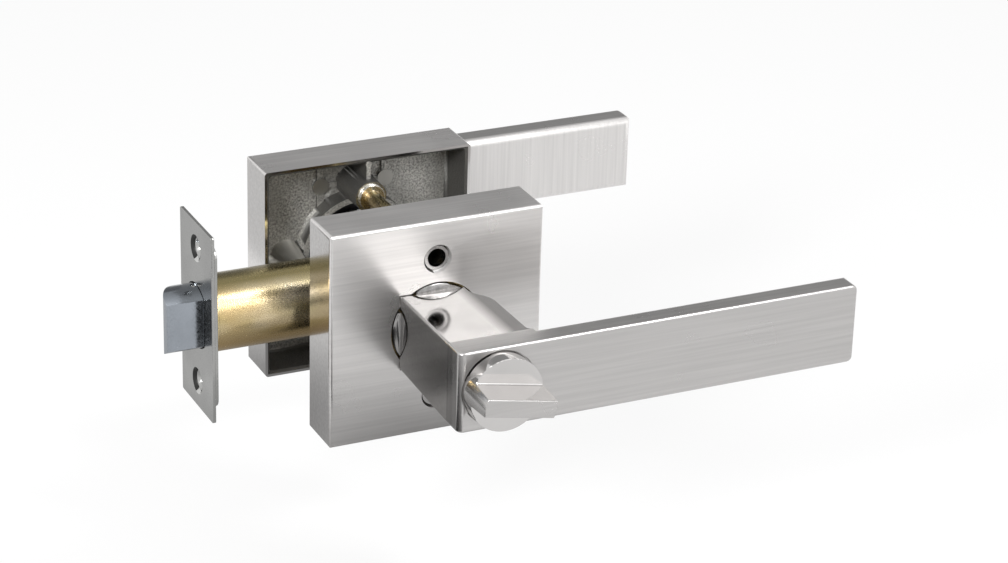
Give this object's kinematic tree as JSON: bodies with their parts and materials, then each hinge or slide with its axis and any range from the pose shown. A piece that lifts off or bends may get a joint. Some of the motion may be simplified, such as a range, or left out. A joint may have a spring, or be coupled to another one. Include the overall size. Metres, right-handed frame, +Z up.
{
  "type": "door lever handle",
  "caption": "Privacy door lever set: two straight levers on square rosettes, turn button, square spindle, screw posts and a tubular spring latch.",
  "frame": {"origin": "on the spindle's axis, half way between the two rosettes' seats on the door", "axes": "+X along the levers, away from the door's edge and the latch bolt; +Y through the door, from the privacy side to the far side; +Z up"},
  "size_m": [0.183, 0.1633, 0.065],
  "materials": {
    "satin_nickel": "satin, finely brushed",
    "yellow_zinc": "yellow passivated zinc plate, iridescent",
    "bright_steel": "bright zinc-plated or plain steel",
    "blue_steel": "smooth sintered steel, blue-grey",
    "dark_steel": "black oxide",
    "spring_steel": "drawn wire",
    "brass": "plain turned"
  },
  "bodies": {
    "set": {"front_rosette": "satin_nickel", "front_bushing": "brass", "front_return_spring": "spring_steel", "lock_plate": "yellow_zinc", "lock_plate_rivets": "bright_steel", "rear_rosette": "satin_nickel", "screw_posts": "yellow_zinc", "rear_bushing": "brass", "rear_return_spring": "spring_steel", "latch_faceplate": "bright_steel", "latch_backplate": "bright_steel", "latch_barrel": "yellow_zinc", "spring_seat": "bright_steel", "bolt_spring": "spring_steel", "latch_case": "yellow_zinc", "latch_case_cover": "yellow_zinc", "latch_case_rivet": "bright_steel"},
    "rear_handle": {"rear_lever": "satin_nickel", "rear_driver": "dark_steel", "rear_circlip": "dark_steel", "spindle": "bright_steel"},
    "front_handle": {"front_lever": "satin_nickel", "front_driver": "dark_steel", "front_circlip": "dark_steel"},
    "hub": {"latch_hub": "yellow_zinc"},
    "bolt": {"latch_bolt": "blue_steel", "bolt_pin": "bright_steel", "latch_drawbar": "yellow_zinc"},
    "button": {"turn_button": "satin_nickel", "button_snap_ring": "spring_steel", "turn_rod": "bright_steel"},
    "dog": {"lock_dog": "bright_steel"}
  },
  "joints": [
    {"name": "rear_lever_turn", "type": "hinge", "parent": "set", "child": "rear_handle", "pos_m": [0, 0.025, 0], "axis": [0, 1, 0], "range_deg": [0, 50], "stiffness_Nm_per_rad": 1.2, "springref_deg": -40.11, "deforming": ["rear_return_spring"]},
    {"name": "front_lever_turn", "type": "hinge", "parent": "set", "child": "front_handle", "pos_m": [0, -0.025, 0], "axis": [0, 1, 0], "range_deg": [0, 50], "deforming": ["front_return_spring"]},
    {"name": "hub_turn", "type": "hinge", "parent": "set", "child": "hub", "pos_m": [0, 0, 0], "axis": [0, 1, 0], "range_deg": [0, 50]},
    {"name": "bolt_slide", "type": "slide", "parent": "set", "child": "bolt", "axis": [1, 0, 0], "range_m": [0, 0.0116], "deforming": ["bolt_spring"]},
    {"name": "button_turn", "type": "hinge", "parent": "front_handle", "child": "button", "pos_m": [0, -0.07, 0], "axis": [0, 1, 0], "range_deg": [0, 90]},
    {"name": "dog_slide", "type": "slide", "parent": "front_handle", "child": "dog", "axis": [0, 0, 1], "range_m": [0, 0.00091]}
  ],
  "couplings": [
    {"joint": "front_lever_turn", "follows": "rear_lever_turn", "ratio": 1},
    {"joint": "hub_turn", "follows": "rear_lever_turn", "ratio": 1},
    {"joint": "bolt_slide", "follows": "rear_lever_turn", "m_per_rad": 0.013219},
    {"joint": "dog_slide", "follows": "button_turn", "m_per_rad": 0.000573}
  ]
}
